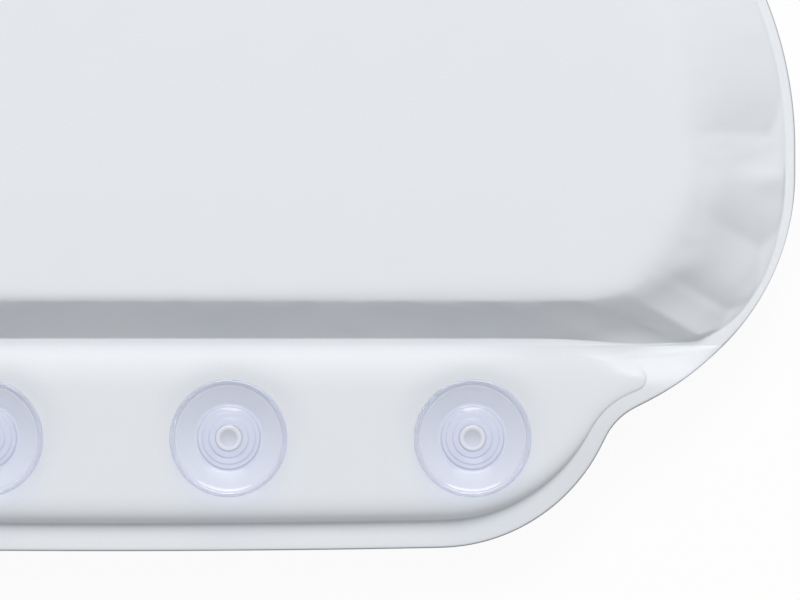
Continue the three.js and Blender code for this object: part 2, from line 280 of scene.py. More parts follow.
def pad_front_rings(drop, inset=0):
    """The front of the pad, from the weld round its roll to where it lies flat."""
    weld = inset_line(pad_weld, front_rest, inset)
    rings = []
    for turn in ROLL_TURNS:
        share = 1 - math.cos(turn * math.pi / 2)
        depth = FRONT_DEPTH * math.sin(turn * math.pi / 2)
        height = pad_base(weld) * (1 - share) ** 2 - depth - drop
        rings.append(ring(weld + (front_rest - weld) * share, height))
    for share in FRONT_REST_SHARES:
        rings.append(ring(front_rest + (pad_spine - front_rest) * share, -FRONT_DEPTH - drop))
    return rings


def pick(piece):
    """Makes a piece the only one selected."""
    bpy.ops.object.select_all(action="DESELECT")
    piece.select_set(True)
    bpy.context.view_layer.objects.active = piece


def lofted(name, rings, closed=()):
    """A skin through rings of points. Its first and last rings stay open, unless faces that close them are
    given with it."""
    count = len(rings[0])
    points = np.concatenate(rings)
    here = np.arange(count)
    after = np.roll(here, -1)
    bands = [
        np.stack([first + here, first + after, first + count + after, first + count + here], axis=1)
        for first in range(0, len(points) - count, count)
    ]
    mesh = bpy.data.meshes.new(name)
    mesh.from_pydata((points * MM + hinge).tolist(), [], np.concatenate(bands).tolist() + list(closed))
    piece = bpy.data.objects.new(name, mesh)
    bpy.context.collection.objects.link(piece)
    return piece


def fill_panel(piece, first, count):
    """Closes the pad's innermost loop of points with a grid of faces."""
    pick(piece)
    for group in (piece.data.vertices, piece.data.edges, piece.data.polygons):
        group.foreach_set("select", np.zeros(len(group), bool))
    loop = {tuple(sorted((first + step, first + (step + 1) % count))) for step in range(count)}
    for edge in piece.data.edges:
        edge.select = tuple(sorted(edge.vertices)) in loop
    bpy.ops.object.mode_set(mode="EDIT")
    bpy.ops.mesh.fill_grid()
    bpy.ops.object.mode_set(mode="OBJECT")


def face_outwards(piece, merge=0):
    """Turns every face of a piece outwards, after merging points that lie closer than a distance."""
    pick(piece)
    bpy.ops.object.mode_set(mode="EDIT")
    bpy.ops.mesh.select_all(action="SELECT")
    if merge:
        bpy.ops.mesh.remove_doubles(threshold=merge * MM)
    bpy.ops.mesh.normals_make_consistent(inside=False)
    bpy.ops.object.mode_set(mode="OBJECT")


def apply_modifiers(piece):
    pick(piece)
    for modifier in list(piece.modifiers):
        bpy.ops.object.modifier_apply(modifier=modifier.name)


def around(back, front):
    """The rings round a foam block: those of its front and back, without the sharp first one of each."""
    return front[:0:-1] + back[1:]


def new_material(name):
    """A node material, with its tree and its main shader."""
    made = bpy.data.materials.new(name)
    made.use_nodes = True
    return made, made.node_tree, made.node_tree.nodes["Principled BSDF"]


def noise(tree, scale, detail=2):
    """A noise texture on the piece's own coordinates, with its scale in bumps a metre."""
    texture = tree.nodes.new("ShaderNodeTexNoise")
    texture.inputs["Scale"].default_value = scale
    texture.inputs["Detail"].default_value = detail
    place = tree.nodes.new("ShaderNodeTexCoord")
    tree.links.new(place.outputs["Object"], texture.inputs["Vector"])
    return texture.outputs["Fac"]


def two_tones(tree, value, low, high, dark, light):
    """A colour between two tones, from a value's low end to its high end."""
    ramp = tree.nodes.new("ShaderNodeValToRGB")
    ramp.color_ramp.elements[0].position = low
    ramp.color_ramp.elements[0].color = (*dark, 1)
    ramp.color_ramp.elements[1].position = high
    ramp.color_ramp.elements[1].color = (*light, 1)
    tree.links.new(value, ramp.inputs["Fac"])
    return ramp.outputs["Color"]


def add_bump(tree, shader, value, strength, distance):
    """Raises a shader's surface by a value."""
    bump = tree.nodes.new("ShaderNodeBump")
    bump.inputs["Strength"].default_value = strength
    bump.inputs["Distance"].default_value = distance
    tree.links.new(value, bump.inputs["Height"])
    tree.links.new(bump.outputs["Normal"], shader.inputs["Normal"])


def points_of(piece):
    """A piece's points, in millimetres from the hinge line."""
    points = np.empty(3 * len(piece.data.vertices))
    piece.data.vertices.foreach_get("co", points)
    return (points.reshape(-1, 3) - hinge) / MM


def set_points(piece, points):
    piece.data.vertices.foreach_set("co", (points * MM + hinge).ravel())
    piece.data.update()


# Each fold is a valley down a slope, or a ridge where its depth is below zero, from its end at the panel to
# its end at the weld. Its flanks have their own widths, that towards the pad's top first. Those on the
# right follow the photo, and the rest are like them.
FOLD_START = -0.15
FOLD_SPAN = 0.85
FOLD_EDGE = 0.5
FOLD_LIMIT = 0.5
RIDGE_FADE = 1.2
FOLDS = [
    ((194, 71.5), (231, 72.2), 11, 13, 2.2),
    ((212, 56.2), (231, 56.4), 8, 4.5, -1.3),
    ((197, 46.3), (225, 30.8), 7.5, 12, 2.1),
    ((185, 26), (212, 10.6), 4.5, 6, 1.5),
    ((172, 18.9), (200, 3.2), 4, 6, -2),
    ((-202, 82), (-231, 80), 8, 5, 1.2),
    ((-217, 60), (-231, 60), 8, 4, -0.7),
    ((-201, 47), (-226, 33), 6, 5, 1.5),
    ((-186, 26), (-213, 11), 5, 4, 1.4),
    ((176, 160), (198, 178), 8, 6, 1.0),
    ((-168, 166), (-186, 188), 7, 8, 1.1),
]


def folds(points, foot):
    """How far the folds lower points of the back, which they leave as they are at their foot."""
    plan = points[:, :2]
    above_foot = np.maximum(points[:, 2] - foot, 0)
    depth = np.zeros(len(plan))
    for start, end, above, below, deep in FOLDS:
        along = np.subtract(end, start)
        length = np.linalg.norm(along)
        share = (plan - start) @ along / length**2
        aside = (plan - start) @ np.array((-along[1], along[0])) / length * np.sign(along[0])
        width = np.where(aside > 0, above, below)
        distance = np.hypot(aside, FOLD_EDGE) - FOLD_EDGE
        across = np.maximum(1 - distance / (2 * width), 0) ** 2
        depth += deep * across * ease((share - FOLD_START) / FOLD_SPAN)
    ridge = np.minimum(depth, 0) * ease(above_foot / RIDGE_FADE)
    return np.minimum(np.maximum(depth, 0), FOLD_LIMIT * above_foot) + ridge


FOAM_LIGHT = (0.82, 0.77, 0.63)
FOAM_PORE_SHADE = (0.66, 0.59, 0.44)
FOAM_CELLS = 900
foam, foam_tree, foam_shader = new_material("open_cell_foam")
pores = foam_tree.nodes.new("ShaderNodeTexVoronoi")
pores.inputs["Scale"].default_value = FOAM_CELLS
foam_place = foam_tree.nodes.new("ShaderNodeTexCoord")
foam_tree.links.new(foam_place.outputs["Object"], pores.inputs["Vector"])
depth_of_pore = pores.outputs["Distance"]
# The foam is painted darker towards the middle of each pore: painted shade in the pores' hollows, over the
# bump that sinks them.
foam_colour_with_pore_shade = two_tones(foam_tree, depth_of_pore, low=0.05, high=0.4, dark=FOAM_PORE_SHADE, light=FOAM_LIGHT)
foam_tree.links.new(foam_colour_with_pore_shade, foam_shader.inputs["Base Color"])
foam_shader.inputs["Roughness"].default_value = 0.95
add_bump(foam_tree, foam_shader, depth_of_pore, strength=0.5, distance=0.0004)

pad_rings = around(pad_back_rings(-FOAM_SETBACK, FOAM_INSET), pad_front_rings(-FOAM_SETBACK, FOAM_INSET))
pad_foam = lofted("pad_foam_block", pad_rings)
fill_panel(pad_foam, 0, len(pad_weld))
fill_panel(pad_foam, (len(pad_rings) - 1) * len(pad_weld), len(pad_weld))
face_outwards(pad_foam)
bpy.ops.object.shade_smooth()
block = points_of(pad_foam)
block[:, 2] -= folds(block, 0)
set_points(pad_foam, block)
pad_foam.data.materials.append(foam)
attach(pad_foam, "head_pad")
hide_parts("pad_foam")

# Foam bar of the flap. The same foam, a slim bar with a rolled edge that thins towards its ends. A round
# pocket is punched under each cup, so that the snap head and its washer have room.
FLAP_DROP = (hinge[1] - cad_low.y) / MM
FLAP_CORNER = (111.5, -7.3)
FLAP_CORNER_RADIUS = 61.6
FLAP_FLANGE = 9.7
FLAP_SIDE_FLANGE = 4.5
LOWER_BOW = 1.1
NOTCH_SIDE_RADIUS = 105
WELD_CORNER_SHIFT = 1
PAD_CORNER = (150.5, WIDEST_LINE)
PAD_CORNER_RADIUS = 82.5
FLAP_FOOT = 1.4
WELD_NOTCH_RADIUS = 26
NOSE = (177.5, -11)
NOSE_RADIUS = 4.5
NOSE_TURN = math.radians(75)
NOSE_FADE = (168, 3)
FLAP_HEIGHT = 8.2
FLAP_TILT = 0.03
FLAP_END_RISE = -1.5
FLAP_END_FROM = 115
FLAP_END_SPAN = 35
FLAP_ROLL = 8.8
NOSE_ROLL = 7
NOSE_ROLL_FROM = 125
NOSE_ROLL_SPAN = 40
ROLL_POWER = 2.5
SOFT_END_FROM = -11
SOFT_END_SPAN = 6
HINGE_SLOPE = 8.5
HINGE_SOFTNESS = 0.7
NOTCH_END = 225
NOTCH_FADE = 50
CREASE_SPAN = 14
DROOP_END = 66
DROOP_SPAN = 56
FLAP_FRONT_DEPTH = 10.9
SPINE_END = 0.015
INSET_LIMIT = 0.6
CREST_SHARE = 0.44
INNER_SHARES = (0.55, 0.68, 0.82, 0.94)
CUP_NAMES = [f"suction_cup_{number}" for number in range(1, 5)]
LOWER_EDGE_STEPS = 20
FLAP_CORNER_STEPS = 16
NOTCH_STEPS = 6
SHOULDER_STEPS = 20
NOSE_STEPS = 8
DIMPLE_DEPTH = 1.1
DIMPLE_RADIUS = 17.5
DIMPLE_WIDTH = 5.5
SEAT_SINK = 0.25
SEAT_RADIUS = 10.5
SEAT_FADE = 5.5
POCKET_RADIUS = 11
POCKET_FLOOR = -0.8
PUNCH_TOP = FLAP_HEIGHT + 4
ROUND_SEGMENTS = 48
FOAM_CREASE_DEG = 35


def centre_of(node):
    """A node's middle, in millimetres from the hinge line."""
    low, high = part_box(node)
    return (np.array(low + high) / 2 - hinge) / MM


cup_places = [centre_of(name)[:2] for name in CUP_NAMES]
CUP_ROW = cup_places[0][1]


def notch_centre(lower, lower_radius, upper, upper_radius, radius):
    """The centre of an arc that hollows the outline between two round corners and touches both."""
    across = np.subtract(upper, lower)
    distance = np.linalg.norm(across)
    reach = lower_radius + radius
    along = (reach**2 - (upper_radius + radius) ** 2 + distance**2) / (2 * distance)
    aside = math.sqrt(reach**2 - along**2)
    unit = across / distance
    return np.add(lower, unit * along + np.array((unit[1], -unit[0])) * aside)


def direction(start, end):
    return math.atan2(end[1] - start[1], end[0] - start[0])


HINGE_HALF = PAD_CORNER[0] + math.sqrt(PAD_CORNER_RADIUS**2 - PAD_CORNER[1] ** 2)


def hinge_line(end, top):
    """The flap's edge at the hinge, from its round end to its middle, with its points beside the pad's."""
    across = HINGE_HALF * np.append(hinge_shares()[1:], 1)[::-1]
    shoulder = across[SHOULDER_STEPS]
    share = np.clip((HINGE_HALF - across) / (HINGE_HALF - shoulder), 0, 1)
    x = np.where(share < 1, end[0] + (shoulder - end[0]) * share, across)
    return np.stack([x, end[1] + (top - end[1]) * share], axis=1)


def bowed(bottom, half_width, steps):
    """The flap's lower edge from its middle, bowed down, to where the round corner starts."""
    across = np.linspace(0, half_width, steps, endpoint=False)
    return np.stack([across, bottom - LOWER_BOW * (1 - (across / half_width) ** 2)], axis=1)


def flap_outline(corner, corner_radius, notch_radius, end, end_radius, end_turn, top):
    """An outline of the flap: lower edge, corner, hollow notch, round end, and the edge at the hinge."""
    notch = notch_centre(corner, corner_radius, end, end_radius, notch_radius)
    bottom = corner[1] - corner_radius
    into_notch = direction(notch, corner) % (2 * math.pi)
    out_of_notch = direction(notch, end) % (2 * math.pi)
    end_point = (end[0] + end_radius * math.cos(end_turn), end[1] + end_radius * math.sin(end_turn))
    out_of_corner = direction(corner, notch)
    return both_sides(
        np.concatenate(
            [
                bowed(bottom, corner[0], LOWER_EDGE_STEPS),
                arc(corner, (corner_radius,) * 2, -math.pi / 2, out_of_corner, FLAP_CORNER_STEPS),
                arc(notch, (notch_radius,) * 2, into_notch, out_of_notch, NOTCH_STEPS),
                arc(end, (end_radius,) * 2, direction(end, notch), end_turn, NOSE_STEPS),
                hinge_line(end_point, top),
                [(0, top)],
            ]
        )
    )


weld_radius = FLAP_CORNER_RADIUS - FLAP_SIDE_FLANGE
weld_corner = (FLAP_CORNER[0] + WELD_CORNER_SHIFT, weld_radius + FLAP_FLANGE + LOWER_BOW - FLAP_DROP)
flap_weld = flap_outline(
    weld_corner, weld_radius, WELD_NOTCH_RADIUS, NOSE, NOSE_RADIUS, NOSE_TURN, -FLAP_FOOT
)
rolled_steps = LOWER_EDGE_STEPS + FLAP_CORNER_STEPS + NOTCH_STEPS + NOSE_STEPS
tip_step = rolled_steps - NOSE_STEPS // 2
opposite = (2 * tip_step - np.arange(len(flap_weld))) % len(flap_weld)
flap_spine = (flap_weld + flap_weld[opposite]) / 2
flap_spine[:, 0] *= 1 - SPINE_END * (flap_spine[:, 0] / NOSE[0]) ** 4
right_edge = flap_weld[: rolled_steps + 1]
right_edge = np.concatenate([right_edge, [NOSE_FADE]])
rolled_edge = np.concatenate([right_edge[:0:-1] * (-1, 1), right_edge])


def edge_distance(plan, line):
    """The distance of each point from a line of points."""
    start, along = line[:-1], np.diff(line, axis=0)
    offset = plan[:, None] - start
    share = np.clip((offset * along).sum(2) / (along**2).sum(1), 0, 1)
    return np.linalg.norm(offset - share[:, :, None] * along, axis=2).min(1)


def from_hinge(plan, inset):
    """The share of its full height that the flap has by its distance from the hinge."""
    return np.maximum(soft_lower((-plan[:, 1] - inset) / HINGE_SLOPE, 1, HINGE_SOFTNESS), 0)


def from_edge(plan, inset):
    """The share of its full height that the flap has by its distance from its rolled edge, which is tighter
    near the nose and runs out softly beside the hinge."""
    towards_nose = ease((np.abs(plan[:, 0]) - NOSE_ROLL_FROM) / NOSE_ROLL_SPAN)
    reach = FLAP_ROLL + (NOSE_ROLL - FLAP_ROLL) * towards_nose
    inside = np.clip((edge_distance(plan, rolled_edge) - inset) / reach, 0, 1)
    rolled = (1 - (1 - inside) ** ROLL_POWER) ** (1 / ROLL_POWER)
    return rolled + (ease(inside) - rolled) * ease((plan[:, 1] - SOFT_END_FROM) / SOFT_END_SPAN)


def flap_base(plan):
    """The height of the flap's flat edge, which comes off the hinge weld and droops to its lower edge."""
    at_hinge = pad_base(plan)
    below = (HINGE_LIFT + CREASE_RISE) * ease((NOTCH_END - np.abs(plan[:, 0])) / NOTCH_FADE)
    share = ease(-plan[:, 1] / CREASE_SPAN)
    return (at_hinge + (below - at_hinge) * share) * ease((plan[:, 1] + DROOP_END) / DROOP_SPAN)


def flap_outlines(inset):
    """The rings of the flap's plan, from the weld over its rolled edge to a slim loop along its middle."""
    furthest = INSET_LIMIT * lengths(flap_weld, flap_spine)
    weld = inset_line(flap_weld, flap_spine, np.minimum(inset, furthest))
    rolled = [CREST_SHARE * (1 - math.cos(turn * math.pi / 2)) for turn in ROLL_TURNS]
    return [weld + (flap_spine - weld) * share for share in (*rolled, *INNER_SHARES)]


def flap_top(plan):
    """The height of the flap's back on the row of cups and round it."""
    end_rise = FLAP_END_RISE * ease((np.abs(plan[:, 0]) - FLAP_END_FROM) / FLAP_END_SPAN)
    return FLAP_HEIGHT + FLAP_TILT * (plan[:, 1] - CUP_ROW) + end_rise


def flap_shape(plan, inset, least=0):
    """The share of its full height that the flap has, or a bar cut smaller with a blunt edge."""
    return np.maximum(from_edge(plan, inset) * from_hinge(plan, inset), least)


def flap_back(plan):
    """The height of the flap's back: a soft slope off the hinge and a round roll at the free edge, which
    taper together into the nose."""
    base = flap_base(plan)
    return base + (flap_top(plan) - base) * flap_shape(plan, 0)


def flap_front(plan):
    """The height of the flap's front."""
    return flap_base(plan) - FLAP_FRONT_DEPTH * flap_shape(plan, 0)


def bar_back(plan):
    """The height of the foam bar's back, inside the flap's."""
    base = flap_base(plan)
    return base + (flap_top(plan) - FOAM_SETBACK - base) * flap_shape(plan, FOAM_MARGIN, FOAM_EDGE)


def bar_front(plan):
    """The height of the foam bar's front."""
    return flap_base(plan) - (FLAP_FRONT_DEPTH - FOAM_SETBACK) * flap_shape(plan, FOAM_MARGIN, FOAM_EDGE)


def flap_rings(height, lift, inset=0):
    """Rings over the flap or its foam bar, at heights from a rule."""
    return [ring(plan, height(plan) + lift) for plan in flap_outlines(inset)]


def flap_closing(rings, number):
    """Faces that close a ring of the flap across its middle, from its lower side to its hinge side."""
    steps = np.arange(-tip_step, tip_step) % len(flap_weld)
    after = (steps + 1) % len(flap_weld)
    corners = np.stack([steps, after, opposite[after], opposite[steps]], axis=1)
    first = range(len(rings))[number] * len(flap_weld)
    return [list(dict.fromkeys((first + face).tolist())) for face in corners]


def with_seats(points, lift):
    """Points of the flap's back with the skin drawn in round each cup, and flat on the cup's washer."""
    points = points.copy()
    on_back = points[:, 2] > 0
    seat = FLAP_HEIGHT - SEAT_SINK + lift
    for place in cup_places:
        distance = np.linalg.norm(points[:, :2] - place, axis=1)
        dimple = DIMPLE_DEPTH * np.exp(-(((distance - DIMPLE_RADIUS) / DIMPLE_WIDTH) ** 2))
        points[:, 2] -= dimple * on_back
        seated = ease((SEAT_RADIUS + SEAT_FADE - distance) / SEAT_FADE) * on_back
        points[:, 2] += (seat - points[:, 2]) * seated
    return points


def cut_round(piece, radius, bottom, top):
    """Cuts a round hole at every cup, between two heights."""
    for place in cup_places:
        bpy.ops.object.select_all(action="DESELECT")
        bpy.ops.mesh.primitive_cylinder_add(
            vertices=ROUND_SEGMENTS,
            radius=radius * MM,
            depth=(top - bottom) * MM,
            location=tuple(np.array((*place, (top + bottom) / 2)) * MM + hinge),
        )
        punch = bpy.context.object
        pick(piece)
        cut = piece.modifiers.new("punched_hole", "BOOLEAN")
        cut.operation = "DIFFERENCE"
        cut.solver = "EXACT"
        cut.object = punch
        bpy.ops.object.modifier_apply(modifier=cut.name)
        bpy.data.objects.remove(punch)


bar_rings = around(flap_rings(bar_back, -FOAM_DROP, FOAM_INSET), flap_rings(bar_front, 0, FOAM_INSET))
flap_foam = lofted("flap_foam_bar", bar_rings, flap_closing(bar_rings, 0) + flap_closing(bar_rings, -1))
face_outwards(flap_foam)
set_points(flap_foam, with_seats(points_of(flap_foam), -FOAM_SETBACK))
cut_round(flap_foam, POCKET_RADIUS, POCKET_FLOOR, PUNCH_TOP)
pick(flap_foam)
bpy.ops.object.shade_smooth_by_angle(angle=math.radians(FOAM_CREASE_DEG))
flap_foam.data.materials.clear()
flap_foam.data.materials.append(foam)
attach(flap_foam, "flap")
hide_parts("flap_foam")

# Front and back sheets. Satin white vinyl with a fine pressed grain, formed over the foam, welded flat
# together round the edge and along the hinge line, and trimmed just outside the weld.
NOTCH_RADIUS = 22
EDGE_UPPER_CORNER = 137
SHEET = 0.94
BACK_FACE = 0.8
FRONT_FACE = 1.1
RIM = ((0, 0.85), (0.22, 0.4), (0.5, 0.1), (0.8, 0))
FLANGE_SHARES = (0.6, 0.88)
HINGE_END = HINGE_HALF - 0.1
NECK_HOLE = 4.4
SETTLE_FRAMES = 20
SETTLE_LIMIT = 0.8
SHEET_EXCESS = 0.012
FREE_FROM = 0.05
FREE_FROM_FRONT = 0.15
FREE_TO = 0.96
FREE_FADE_IN = 0.15
FREE_FADE_OUT = 0.12
SEAM_MERGE = 0.02
ON_LINE = 0.01
SHEET_CREASE_DEG = 40

pad_edge = pad_outline(HALF_WIDTH, 0, PAD_TOP, PAD_CORNER_RADIUS, PAD_CORNER_RADIUS, EDGE_UPPER_CORNER)
hinge_end = np.array((HINGE_HALF, 0))
notch_side = hinge_end + (PAD_CORNER - hinge_end) * NOTCH_SIDE_RADIUS / PAD_CORNER_RADIUS
flap_edge = flap_outline(
    FLAP_CORNER,
    FLAP_CORNER_RADIUS,
    NOTCH_RADIUS,
    notch_side,
    NOTCH_SIDE_RADIUS,
    direction(notch_side, hinge_end),
    0,
)


def on_hinge(edge):
    return (np.abs(edge[:, 1]) < ON_LINE) & (np.abs(edge[:, 0]) < HINGE_END)


def flap_flange(plan):
    """The height of the flap's flat edge, with the foot of its back's slope beside the hinge."""
    nose_end = flap_weld[rolled_steps]
    along = np.subtract(NOSE_FADE, nose_end)
    offset = np.column_stack([np.abs(plan[:, 0]), plan[:, 1]]) - nose_end
    step = np.arange(len(plan))
    beside_hinge = (step > rolled_steps) & (step < len(plan) - rolled_steps)
    raised = beside_hinge & (along[0] * offset[:, 1] - along[1] * offset[:, 0] > 0)
    base = flap_base(plan)
    return base + (flap_top(plan) - base) * np.where(raised, flap_shape(plan, 0), 0)


def flange_rings(edge, weld, height, face, sign):
    """The flat welded edge, from its trimmed and rounded rim in to the weld. It has no rim on the hinge."""
    width = lengths(edge, weld)
    rings = []
    for inset, drop in RIM:
        plan = edge + (weld - edge) * (inset / width)[:, None]
        rings.append(ring(plan, height(plan) + sign * (face - np.where(on_hinge(edge), 0, drop))))
    for share in FLANGE_SHARES:
        plan = edge + (weld - edge) * share
        rings.append(ring(plan, height(plan) + sign * face))
    return rings


def join_skins(name, over_pad, over_flap):
    """One sheet over pad and flap, from the rings of each, joined along the hinge line."""
    pad_skin = lofted(name, over_pad)
    flap_skin = lofted(name, over_flap, flap_closing(over_flap, -1))
    for skin, rings in ((pad_skin, over_pad), (flap_skin, over_flap)):
        # The two outermost rim rings off the hinge are marked for a painted shade line: dark grey that
        # stands in for the shaded cut edge of the sheets.
        edge_shade_mask = np.zeros(len(skin.data.vertices))
        edge_shade_mask[: 2 * len(rings[0])] = np.tile(~on_hinge(rings[0]), 2)
        skin.data.attributes.new("painted_edge_shade", "FLOAT", "POINT").data.foreach_set("value", edge_shade_mask)
    fill_panel(pad_skin, (len(over_pad) - 1) * len(pad_weld), len(pad_weld))
    pick(pad_skin)
    flap_skin.select_set(True)
    bpy.ops.object.join()
    sheet = bpy.context.object
    sheet.name = name
    face_outwards(sheet, SEAM_MERGE)
    return sheet


def turn_skin(sheet, sign):
    """Makes the sheet's faces look up or down."""
    heights = [polygon.normal.z * polygon.area for polygon in sheet.data.polygons]
    if sign * sum(heights) < 0:
        pick(sheet)
        bpy.ops.object.mode_set(mode="EDIT")
        bpy.ops.mesh.select_all(action="SELECT")
        bpy.ops.mesh.flip_normals()
        bpy.ops.object.mode_set(mode="OBJECT")


def free_share(share, lowest):
    """How free a point of a slope is to settle, by its share of the way from the weld to the top."""
    return ease((share - lowest) / FREE_FADE_IN) * ease((FREE_TO - share) / FREE_FADE_OUT)


def settle(sheet, free):
    """Lets the free parts of a sheet settle between its welds, by a short cloth simulation with a little
    more sheet than the span needs."""
    start = points_of(sheet)
    held = sheet.vertex_groups.new(name="held")
    for index, loose in enumerate(free):
        held.add([index], 1 - loose, "REPLACE")
    pick(sheet)
    cloth = sheet.modifiers.new("settling", "CLOTH")
    cloth.settings.quality = 6
    cloth.settings.mass = 0.05
    cloth.settings.vertex_group_mass = held.name
    cloth.settings.bending_stiffness = 2
    cloth.settings.shrink_min = -SHEET_EXCESS
    cloth.settings.effector_weights.gravity = 0
    cloth.collision_settings.use_collision = False
    cloth.point_cache.frame_end = SETTLE_FRAMES
    for moment in range(1, SETTLE_FRAMES + 1):
        bpy.context.scene.frame_set(moment)
    bpy.ops.object.modifier_apply(modifier=cloth.name)
    bpy.context.scene.frame_set(1)
    sheet.vertex_groups.clear()
    moved = points_of(sheet) - start
    distance = np.linalg.norm(moved, axis=1)
    set_points(sheet, start + moved * (SETTLE_LIMIT / max(distance.max(), SETTLE_LIMIT)))


def refine(sheet):
    """One subdivision, which rounds the skin between its rings."""
    finer = sheet.modifiers.new("finer", "SUBSURF")
    finer.levels = finer.render_levels = 1
    finer.boundary_smooth = "PRESERVE_CORNERS"
    apply_modifiers(sheet)


def thicken(sheet):
    """Gives the skin its thickness, inwards."""
    wall = sheet.modifiers.new("thickness", "SOLIDIFY")
    wall.thickness = SHEET * MM
    wall.offset = -1
    apply_modifiers(sheet)


VINYL_LIGHT = (0.79, 0.81, 0.83)
VINYL_DARK = (0.784, 0.805, 0.826)
EDGE_SHADE_COLOUR = (0.36, 0.37, 0.39)
GRAIN = 1100
MOTTLE = 60
vinyl, vinyl_tree, vinyl_shader = new_material("white_vinyl")
mottle = noise(vinyl_tree, MOTTLE, detail=4)
vinyl_colour = two_tones(vinyl_tree, mottle, low=0.35, high=0.65, dark=VINYL_DARK, light=VINYL_LIGHT)
# A thin dark grey line of painted shade along the sheets' rim, standing in for the cut edge in shadow.
painted_edge_shade = vinyl_tree.nodes.new("ShaderNodeAttribute")
painted_edge_shade.attribute_name = "painted_edge_shade"
with_edge_shade = vinyl_tree.nodes.new("ShaderNodeMix")
with_edge_shade.data_type = "RGBA"
vinyl_tree.links.new(painted_edge_shade.outputs["Fac"], with_edge_shade.inputs[0])
vinyl_tree.links.new(vinyl_colour, with_edge_shade.inputs[6])
with_edge_shade.inputs[7].default_value = (*EDGE_SHADE_COLOUR, 1)
vinyl_tree.links.new(with_edge_shade.outputs[2], vinyl_shader.inputs["Base Color"])
vinyl_shader.inputs["Roughness"].default_value = 0.5
vinyl_shader.inputs["Specular IOR Level"].default_value = 0.4
add_bump(vinyl_tree, vinyl_shader, noise(vinyl_tree, GRAIN, detail=3), strength=0.12, distance=0.0003)

back_sheet = join_skins(
    "back_sheet",
    flange_rings(pad_edge, pad_weld, pad_base, BACK_FACE, 1) + pad_back_rings(BACK_FACE),
    flange_rings(flap_edge, flap_weld, flap_flange, BACK_FACE, 1) + flap_rings(flap_back, BACK_FACE),
)
turn_skin(back_sheet, 1)
start = points_of(back_sheet)
foot = pad_base(start)
share = (start[:, 2] - BACK_FACE - foot) / (PAD_RISE - foot)
settle(back_sheet, free_share(share, FREE_FROM) * (start[:, 1] > 0))
refine(back_sheet)
skin = with_seats(points_of(back_sheet), BACK_FACE)
skin[:, 2] -= folds(skin, BACK_FACE)
set_points(back_sheet, skin)
thicken(back_sheet)
cut_round(back_sheet, NECK_HOLE, 0, PUNCH_TOP)

front_sheet = join_skins(
    "front_sheet",
    flange_rings(pad_edge, pad_weld, pad_base, FRONT_FACE, -1) + pad_front_rings(FRONT_FACE),
    flange_rings(flap_edge, flap_weld, flap_base, FRONT_FACE, -1) + flap_rings(flap_front, -FRONT_FACE),
)
turn_skin(front_sheet, -1)
start = points_of(front_sheet)
share = -start[:, 2] / FRONT_DEPTH
settle(front_sheet, free_share(share, FREE_FROM_FRONT) * (start[:, 1] > 0))
refine(front_sheet)
thicken(front_sheet)

for sheet, side in ((back_sheet, "back"), (front_sheet, "front")):
    pick(sheet)
    bpy.ops.object.shade_smooth_by_angle(angle=math.radians(SHEET_CREASE_DEG))
    sheet.data.materials.clear()
    sheet.data.materials.append(vinyl)
    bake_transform(sheet)
    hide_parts(f"pad_{side}_sheet", f"flap_{side}_sheet")

# Washers. Flat rings of hard plastic inside the flap, one on each cup's neck under the back sheet, that
# keep the snap heads from pulling through the soft vinyl.
WASHER_BORE = 4.4
WASHER_RADIUS = 10
WASHER_ROUNDING = 0.25
AXIS_MERGE = 0.05
ROUNDED_DEG = 28
ROUND_CREASE_DEG = 40
HARD_DARK = (0.7, 0.71, 0.72)
HARD_LIGHT = (0.74, 0.75, 0.76)


def turned(name, profile, segments):
    """A piece turned about the Z axis: a circle pulled ring by ring along radii and heights."""
    bpy.ops.object.select_all(action="DESELECT")
    radius, height = profile[0]
    bpy.ops.mesh.primitive_circle_add(vertices=segments, radius=radius * MM, location=(0, 0, height * MM))
    piece = bpy.context.object
    piece.name = name
    bpy.ops.object.transform_apply(location=True)
    bpy.ops.object.mode_set(mode="EDIT")
    bpy.ops.mesh.select_all(action="SELECT")
    for next_radius, next_height in profile[1:]:
        lift = (0, 0, (next_height - height) * MM)
        bpy.ops.mesh.extrude_edges_move(TRANSFORM_OT_translate={"value": lift})
        growth = next_radius / radius
        bpy.ops.transform.resize(value=(growth, growth, 1), center_override=(0, 0, 0))
        radius, height = next_radius, next_height
    bpy.ops.object.mode_set(mode="OBJECT")
    return piece


def round_edges(piece, width, steps):
    """Rounds every sharp edge of a piece."""
    rounding = piece.modifiers.new("rounded", "BEVEL")
    rounding.width = width * MM
    rounding.segments = steps
    rounding.limit_method = "ANGLE"
    rounding.angle_limit = math.radians(ROUNDED_DEG)
    apply_modifiers(piece)
    bpy.ops.object.shade_smooth_by_angle(angle=math.radians(ROUND_CREASE_DEG))


def copy_to(piece, name, place):
    """A copy of a piece with its own mesh, its place in the mesh."""
    copy = bpy.data.objects.new(name, piece.data.copy())
    bpy.context.collection.objects.link(copy)
    copy.location = place
    pick(copy)
    bpy.ops.object.transform_apply(location=True)
    return copy


hard, hard_tree, hard_shader = new_material("hard_white_plastic")
hard_cloud = noise(hard_tree, scale=400)
hard_colour = two_tones(hard_tree, hard_cloud, low=0.3, high=0.7, dark=HARD_DARK, light=HARD_LIGHT)
hard_tree.links.new(hard_colour, hard_shader.inputs["Base Color"])
hard_shader.inputs["Roughness"].default_value = 0.38
add_bump(hard_tree, hard_shader, noise(hard_tree, scale=2500), strength=0.06, distance=0.0001)

